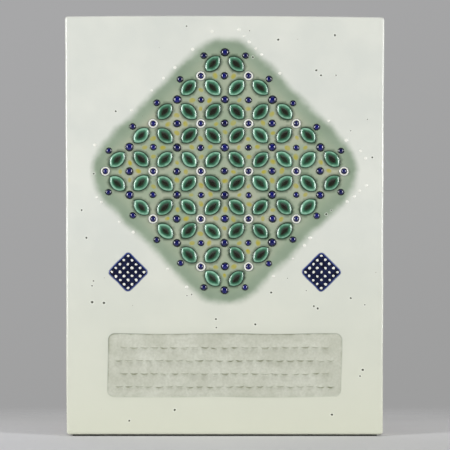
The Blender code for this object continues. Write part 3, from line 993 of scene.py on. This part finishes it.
# %% White slab glaze: how far outside the trellis
WASH_CORNER = 22 * MM
soft = {"interpolation_type": "SMOOTHSTEP"}
core = LATTICE_HALF / np.sqrt(2) - WASH_CORNER
beyond = add(tree, "VectorMath", [where, (0, 0, TRELLIS_Z)], operation="SUBTRACT")
beyond = add(tree, "VectorRotate", {"Vector": beyond, "Angle": np.pi / 4}, rotation_type="Y_AXIS")
beyond = add(tree, "VectorMath", [beyond], operation="ABSOLUTE")
beyond = add(tree, "VectorMath", [beyond, (core, 1, core)], operation="SUBTRACT")
beyond = add(tree, "VectorMath", [beyond, (0, 0, 0)], operation="MAXIMUM")
beyond = add(tree, "VectorMath", [beyond], "Value", operation="LENGTH")
brushed = add(tree, "TexNoise", {"Vector": where, "Scale": 1 / (26 * MM), "Detail": 3.0})
outside = add(tree, "Math", [brushed, 9 * MM, beyond], operation="MULTIPLY_ADD")
streaks = add(tree, "TexNoise", {"Vector": where, "Scale": 1 / (3.8 * MM), "Detail": 2.0})
outside = add(tree, "Math", [streaks, 1.5 * MM, outside], operation="MULTIPLY_ADD")
print("the trellis' core reaches", round(1000 * core, 1), "mm from its middle")

# %% White slab glaze: the wash
WASH_START = WASH_CORNER + 5 * MM
WASH_END = WASH_START + 26 * MM
ends = {"From Min": WASH_END, "From Max": WASH_END - 10 * MM}
covered = add(tree, "MapRange", {"Value": outside, **ends}, **soft)
front = add(tree, "MapRange", {"Value": y, "From Min": FACE_Y + 4 * MM, "From Max": FACE_Y}, **soft)
covered = add(tree, "Math", [covered, front], operation="MULTIPLY")
inner = add(tree, "ValToRGB", [brushed], stops=[(0.3, "#8c9c84"), (0.5, "#98a28d"), (0.7, "#a6a994")])
outer = add(tree, "ValToRGB", [brushed], stops=[(0.3, "#80907c"), (0.7, "#8d9c88")])
ends = {"From Min": WASH_START + 15 * MM, "From Max": WASH_START + 3 * MM}
near = add(tree, "MapRange", {"Value": outside, **ends}, **soft)
wash = add(tree, "Mix", {0: near, 6: outer, 7: inner}, 2, data_type="RGBA")
colour = add(tree, "Mix", {0: covered, 6: ground, 7: wash}, 2, data_type="RGBA")
print("the wash is gone", round(1000 * (WASH_END - WASH_CORNER)), "mm outside the trellis, or sooner")

# %% White slab glaze: spots, pools, pits and specks
pool, ochre, bleed, pit = [
    add(tree, "Attribute", out="Fac", attribute_name=name) for name in ("pool", "ochre", "bleed", "pit")
]
patchy = add(tree, "MapRange", {"Value": streaks, "From Min": 0.3, "From Max": 0.7, "To Min": 0.5})
ochre = add(tree, "Math", [ochre, patchy], operation="MULTIPLY")
colour = add(tree, "Mix", {0: ochre, 6: colour, 7: "#a39a32"}, 2, data_type="RGBA")
bleed = add(tree, "Math", [bleed, 0.65], operation="MULTIPLY")
colour = add(tree, "Mix", {0: bleed, 6: colour, 7: "#3d4a7c"}, 2, data_type="RGBA")
# Dark green where glaze gathers at the forms' feet, and the same colour as painted shade along the panel's
# step.
colour = add(tree, "Mix", {0: pool, 6: colour, 7: "#28422f"}, 2, data_type="RGBA")
colour = add(tree, "Mix", {0: pit, 6: colour, 7: "#3b3d31"}, 2, data_type="RGBA")
rim = add(tree, "Math", [pit, -1.0], operation="MULTIPLY")
colour = add(tree, "Mix", {0: rim, 6: colour, 7: "#e6e9e0"}, 2, data_type="RGBA")
iron = add(tree, "TexVoronoi", {"Vector": where, "Scale": 1 / (20 * MM)}, "Distance")
speck = add(tree, "Math", [iron, 0.02], operation="LESS_THAN")
colour = add(tree, "Mix", {0: speck, 6: colour, 7: "#6b6353"}, 2, data_type="RGBA")
fired(tree, shader, where, colour, 2.4 * MM, 22 * MM, 0.15 * MM)

# %% [markdown]
# The leaves hold a copper-green glaze. A glaze is thin over a crest, where the clay makes it light, and deep in
# a dish or along a foot, where it runs together and turns dark, here to a brown. The mesh carries that depth at
# its points, which lie close enough together to hold it without a baked picture. Each leaf also has its own
# tone, because no two were filled alike.

# %% Pooled green glaze
tree, shader, where = glaze("pooled_green_glaze", 0.26, IOR=1.55, Coat_Weight=0.35, Coat_Roughness=0.14)
pool, tone = [add(tree, "Attribute", out="Fac", attribute_name=name) for name in ("pool", "tone")]
run = add(tree, "TexNoise", {"Vector": where, "Scale": 1 / (4.2 * MM), "Detail": 3.0})
depth = add(tree, "Math", [tone, 0.09, pool], operation="MULTIPLY_ADD")
depth = add(tree, "Math", [run, 0.5, depth], operation="MULTIPLY_ADD")
depth = add(tree, "Math", [depth, 0.25], operation="SUBTRACT")
thin = [(0.0, "#7ead94"), (0.12, "#56876d"), (0.35, "#32604a")]
deep = [(0.62, "#234432"), (0.85, "#1f2b1d"), (1.0, "#191a12")]
green = add(tree, "ValToRGB", [depth], stops=thin + deep)
fired(tree, shader, where, green, 2 * MM, 9 * MM, 0.12 * MM)

# %% [markdown]
# Cobalt is the strongest of the potter's colours: a thin glaze of it is nearly violet, and a thick one nearly
# black. The domes take a high gloss, and drain to a dark rim.

# %% Cobalt glaze
tree, shader, where = glaze("cobalt_glaze", 0.14, IOR=1.5, Coat_Weight=0.3, Coat_Roughness=0.05)
pool, tone = [add(tree, "Attribute", out="Fac", attribute_name=name) for name in ("pool", "tone")]
patchy = add(tree, "TexNoise", {"Vector": where, "Scale": 1 / (3.3 * MM), "Detail": 3.0})
depth = add(tree, "Math", [pool, 0.8, patchy], operation="MULTIPLY_ADD")
depth = add(tree, "Math", [tone, 0.12, depth], operation="MULTIPLY_ADD")
blue = add(tree, "ValToRGB", [depth], stops=[(0.3, "#0c1268"), (0.65, "#060a3c"), (0.92, "#02030e")])
fired(tree, shader, where, blue, 2 * MM, 8 * MM, 0.03 * MM)

# %% [markdown]
# White slip is liquid clay, trailed from a nozzle, under clear glaze: the whitest thing on the plaque, with a
# grey line where the glaze gathers at its foot.

# %% White slip
tree, shader, where = glaze("white_slip", 0.2, IOR=1.5)
pool = add(tree, "Attribute", out="Fac", attribute_name="pool")
cloud = add(tree, "TexNoise", {"Vector": where, "Scale": 1 / (5.5 * MM), "Detail": 3.0})
white = add(tree, "ValToRGB", [cloud], stops=[(0.35, "#d8d8cf"), (0.65, "#e0e0d8")])
white = add(tree, "Mix", {0: pool, 6: white, 7: "#66727c"}, 2, data_type="RGBA")
fired(tree, shader, where, white, 2 * MM, 7 * MM, 0.08 * MM)

# %% [markdown]
# The square plates carry a glaze of cobalt and iron together. It fires to a navy close to black, and to a clear
# blue where it is thin at the edges.

# %% Navy glaze
tree, shader, where = glaze("navy_glaze", 0.16, IOR=1.52)
pool = add(tree, "Attribute", out="Fac", attribute_name="pool")
cloud = add(tree, "TexNoise", {"Vector": where, "Scale": 1 / (5 * MM), "Detail": 3.0})
navy = add(tree, "ValToRGB", [cloud], stops=[(0.3, "#0b0f24"), (0.7, "#1a2142")])
navy = add(tree, "Mix", {0: pool, 6: navy, 7: "#28408c"}, 2, data_type="RGBA")
fired(tree, shader, where, navy, 2 * MM, 8.5 * MM, 0.08 * MM)

# %% [markdown]
# The stamped panel was wiped nearly clean of glaze, so the grey clay shows, dull, blotched and finely grained.
# Blotches of glaze are left here and there, and their olive is painted shade in the crescents and along the
# step.

# %% Stamped clay
tree, shader, where = glaze("stamped_grey_clay", 0.5, IOR=1.48)
pool = add(tree, "Attribute", out="Fac", attribute_name="pool")
cloud = add(tree, "TexNoise", {"Vector": where, "Scale": 1 / (25 * MM), "Detail": 4.0})
grey = add(tree, "ValToRGB", [cloud], stops=[(0.3, "#b3b5a7"), (0.7, "#c3c5b9")])
grit = add(tree, "TexNoise", {"Vector": where, "Scale": 1 / (2.4 * MM), "Detail": 4.0})
grainy = add(tree, "MapRange", {"Value": grit, "From Min": 0.4, "From Max": 0.75, "To Max": 0.4})
grey = add(tree, "Mix", {0: grainy, 6: grey, 7: "#9b9c8b"}, 2, data_type="RGBA")
kept_glaze_and_shade = add(tree, "TexNoise", {"Vector": where, "Scale": 1 / (7.7 * MM), "Detail": 3.0})
kept_glaze_and_shade = add(tree, "MapRange", {"Value": kept_glaze_and_shade, "From Min": 0.35, "From Max": 0.7, "To Min": 0.15})
# The kept glaze's olive also serves as painted shade in the stamps and along the step.
pool = add(tree, "Math", [pool, 0.14], operation="ADD")
kept_glaze_and_shade = add(tree, "Math", [kept_glaze_and_shade, pool], operation="MULTIPLY")
grey = add(tree, "Mix", {0: kept_glaze_and_shade, 6: grey, 7: "#787c62"}, 2, data_type="RGBA")
fired(tree, shader, where, grey, 1.4 * MM, 6 * MM, 0.25 * MM)

# %% [markdown]
# The back was never glazed, or it would have stuck to the kiln shelf. Bare stoneware is buff and grainy, with
# dark specks.

# %% Bare stoneware
tree, shader, where = glaze("bare_stoneware", 0.85, IOR=1.45)
cloud = add(tree, "TexNoise", {"Vector": where, "Scale": 1 / (55 * MM), "Detail": 3.0})
clay = add(tree, "ValToRGB", [cloud], stops=[(0.3, "#b9ab95"), (0.7, "#c9bda8")])
grit = add(tree, "TexNoise", {"Vector": where, "Scale": 1 / (1.4 * MM), "Detail": 4.0})
grainy = add(tree, "MapRange", {"Value": grit, "From Min": 0.3, "From Max": 0.7, "To Max": 0.35})
clay = add(tree, "Mix", {0: grainy, 6: clay, 7: "#9c8c76"}, 2, data_type="RGBA")
iron = add(tree, "TexVoronoi", {"Vector": where, "Scale": 1 / (7.7 * MM)}, "Distance")
speck = add(tree, "Math", [iron, 0.09], operation="LESS_THAN")
clay = add(tree, "Mix", {0: speck, 6: clay, 7: "#6b5a48"}, 2, data_type="RGBA")
fired(tree, shader, where, clay, 1.2 * MM, 17 * MM, 0.3 * MM)

# %% [markdown]
# The mesh takes the place of the faceted solid, and the solid's one slot is answered by it.

# %% The plaque takes its solid's place
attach(plaque, "root")
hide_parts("plaque")
print("materials:", [material.name for material in mesh.materials])

# %% [markdown]
# The picture was taken square on, from some two metres away, in a plain studio. The frame is 429 mm wide at
# the plaque's face, and the lens is worked out from that.

# %% Camera
CAMERA_AWAY = 2.2
CAMERA_X = 0.3 * MM
CAMERA_Z = -191 * MM
FRAME_WIDTH = 429.2 * MM
SENSOR_WIDTH = 36
camera_data = bpy.data.cameras.new("camera")
camera_data.sensor_width = SENSOR_WIDTH
camera_data.lens = SENSOR_WIDTH * (CAMERA_AWAY + FACE_Y) / FRAME_WIDTH
camera = bpy.data.objects.new("camera", camera_data)
camera.location = (CAMERA_X, -CAMERA_AWAY, CAMERA_Z)
camera.rotation_euler = (np.pi / 2, 0, 0)
bpy.context.collection.objects.link(camera)
bpy.context.scene.camera = camera
bpy.context.scene.view_settings.view_transform = "Standard"
print("lens:", round(camera_data.lens, 1), "mm")

# %% [markdown]
# The plaque stands on a pale floor that runs softly into a grey sweep. The sweep is the world's own grey, and
# the floor fades out behind the plaque, so nothing stands in the way of a view from the back. The floor is a
# disc of rings, so that its edge is round from every side.

# %% The floor's disc
# The floor lies lower than the foot by the dark strip that paints the contact shadow.
SHADOW_STRIP_THICKNESS = 1.5 * MM
FLOOR_Z = FOOT_Z - SHADOW_STRIP_THICKNESS
FLOOR_POINTS = 96
radii = np.array([0.25, 0.5, 0.8, 1.2])
disc = np.concatenate([[[0.0, 0.0]], (radii[:, None, None] * circle(1.0, FLOOR_POINTS)).reshape(-1, 2)])
number = 1 + np.arange(len(radii) * FLOOR_POINTS).reshape(len(radii), FLOOR_POINTS)
fan = np.stack([np.zeros(FLOOR_POINTS, int), number[0], np.roll(number[0], -1)], -1)
quads = np.stack([number[:-1], number[1:], np.roll(number[1:], -1, 1), np.roll(number[:-1], -1, 1)], -1)
floor_mesh = bpy.data.meshes.new("floor")
floor_points = np.column_stack([disc, np.full(len(disc), FLOOR_Z)])
floor_mesh.from_pydata(floor_points, [], fan.tolist() + quads.reshape(-1, 4).tolist())
floor = bpy.data.objects.new("floor", floor_mesh)
bpy.context.collection.objects.link(floor)
print("floor at", round(1000 * FLOOR_Z, 1), "mm")

# %% Floor paper
paper = bpy.data.materials.new("floor_paper")
paper.use_nodes = True
floor_mesh.materials.append(paper)
tree = paper.node_tree
shader = tree.nodes["Principled BSDF"]
shader.inputs["Roughness"].default_value = 0.9
where = add(tree, "TexCoord", out="Object")
x, y, _ = add(tree, "SeparateXYZ", [where]).node.outputs
# Painted light: the floor is lightest in the middle, and lighter on the left than on the right, where the left
# box is stronger.
sideways = add(tree, "MapRange", {"Value": x, "From Min": -0.2, "From Max": 0.2})
pale = add(tree, "ValToRGB", [sideways], stops=[(0.0, "#cdcdd0"), (0.5, "#d3d3d3"), (1.0, "#c6c6c6")])
grain = add(tree, "TexNoise", {"Vector": where, "Scale": 1 / (3.3 * MM), "Detail": 3.0})
grain = add(tree, "MapRange", {"Value": grain, "To Max": 0.2})
pale = add(tree, "Mix", {0: grain, 6: pale, 7: "#b9b9ba"}, 2, data_type="RGBA")
# Painted light: behind the plaque, where less light reaches, the floor is painted lighter.
ahead = add(tree, "MapRange", {"Value": y, "From Min": 0.20, "From Max": -0.14}, **soft)
pale = add(tree, "Mix", {0: ahead, 6: "#dadadb", 7: pale}, 2, data_type="RGBA")
tree.links.new(pale, shader.inputs["Base Color"])
solid = add(tree, "MapRange", {"Value": y, "From Min": 0.36, "From Max": 0.03}, **soft)
tree.links.new(solid, shader.inputs["Alpha"])
print(paper.name, "has", len(tree.nodes), "nodes")

# %% [markdown]
# The foot stands on a dark strip, which is painted shade: it stands in for the contact shadow where the slab
# meets the paper. It stands back from the slab's edges, so only a dark line shows.

# %% Dark strip for the painted contact shadow
SHADOW_STRIP_HALF_LENGTH = 145 * MM
SHADOW_STRIP_FRONT_Y, SHADOW_STRIP_BACK_Y = -19.5 * MM, -3 * MM
low, high = [-SHADOW_STRIP_HALF_LENGTH, SHADOW_STRIP_FRONT_Y, FLOOR_Z], [SHADOW_STRIP_HALF_LENGTH, SHADOW_STRIP_BACK_Y, FOOT_Z]
corners = np.stack(np.meshgrid(*np.stack([low, high], -1), indexing="ij"), -1).reshape(-1, 3)
contact_shadow_mesh = bpy.data.meshes.new("contact_shadow_strip")
box_faces = [(0, 1, 3, 2), (4, 6, 7, 5), (0, 4, 5, 1), (2, 3, 7, 6), (0, 2, 6, 4), (1, 5, 7, 3)]
contact_shadow_mesh.from_pydata(corners, [], box_faces)
contact_shadow = bpy.data.objects.new("contact_shadow_strip", contact_shadow_mesh)
bpy.context.collection.objects.link(contact_shadow)
print("felt strip:", round(2000 * SHADOW_STRIP_HALF_LENGTH), "mm long")

# %% Painted contact shadow
contact_shadow_material = bpy.data.materials.new("painted_contact_shadow")
contact_shadow_material.use_nodes = True
contact_shadow_mesh.materials.append(contact_shadow_material)
tree = contact_shadow_material.node_tree
shader = tree.nodes["Principled BSDF"]
shader.inputs["Roughness"].default_value = 1.0
where = add(tree, "TexCoord", out="Object")
shadow_mottle = add(tree, "TexNoise", {"Vector": where, "Scale": 1 / (1.1 * MM), "Detail": 3.0})
# Near black: painted shade under the foot.
dark = add(tree, "ValToRGB", [shadow_mottle], stops=[(0.3, "#1e1f1b"), (0.7, "#2f302a")])
tree.links.new(dark, shader.inputs["Base Color"])
print(contact_shadow_material.name, "has", len(tree.nodes), "nodes")

# %% [markdown]
# The camera sees the sweep as a plain grey, with painted light that makes it a little lighter at the upper
# left.
# What lights the glaze is the room: dark in front, so that the glaze keeps its depth, and lighter behind.

# %% Sweep and room
world = bpy.data.worlds.new("sweep")
world.use_nodes = True
bpy.context.scene.world = world
sky = world.node_tree
x, y, z = add(sky, "SeparateXYZ", [add(sky, "TexCoord", out="Generated")]).node.outputs
# Painted light: the sweep grows lighter towards the upper left.
across = add(sky, "Math", [x, -0.35, z], operation="MULTIPLY_ADD")
across = add(sky, "MapRange", {"Value": across, "From Min": -0.1, "From Max": 0.12})
sweep = add(sky, "ValToRGB", [across], stops=[(0.0, "#9e9e9e"), (1.0, "#a7a7a8")])
behind = add(sky, "MapRange", {"Value": y, "From Min": -0.3, "From Max": 0.3})
room = add(sky, "ValToRGB", [behind], stops=[(0.0, "#505050"), (1.0, "#a1a1a1")])
seen = add(sky, "LightPath", out="Is Camera Ray")
seen = add(sky, "Mix", {0: seen, 6: room, 7: sweep}, 2, data_type="RGBA")
sky.links.new(seen, sky.nodes["Background"].inputs["Color"])
print("world:", len(sky.nodes), "nodes")

# %% [markdown]
# Two tall soft boxes light the plaque from the sides, the left one a little stronger, so that each crest has
# a lit line at its left and its right. A weak one above evens the floor, and one behind lights the floor there.
# No camera sees them.


# %% Soft boxes
def soft_box(name, place, aim, width, height, power):
    """An area light of that size, turned to face its aim."""
    data = bpy.data.lights.new(name, "AREA")
    data.shape = "RECTANGLE"
    data.size = width
    data.size_y = height
    data.energy = power
    light = bpy.data.objects.new(name, data)
    light.location = place
    light.rotation_euler = (Vector(aim) - Vector(place)).to_track_quat("-Z", "Y").to_euler()
    light.visible_camera = False
    bpy.context.collection.objects.link(light)


AIM = (0, 0, MIDDLE_Z)
soft_box("left_soft_box", (-1.5, -1.0, 0.15), AIM, 0.5, 1.1, 31)
soft_box("right_soft_box", (1.5, -1.0, 0.15), AIM, 0.5, 1.1, 28)
soft_box("top_soft_box", (0, -0.7, 1.3), AIM, 1.6, 1.0, 3)
soft_box("back_soft_box", (0, 1.0, 0.9), (0, 0.15, FLOOR_Z), 1.6, 0.6, 4)
print("soft boxes:", sum(light.energy for light in bpy.data.lights), "W in all")
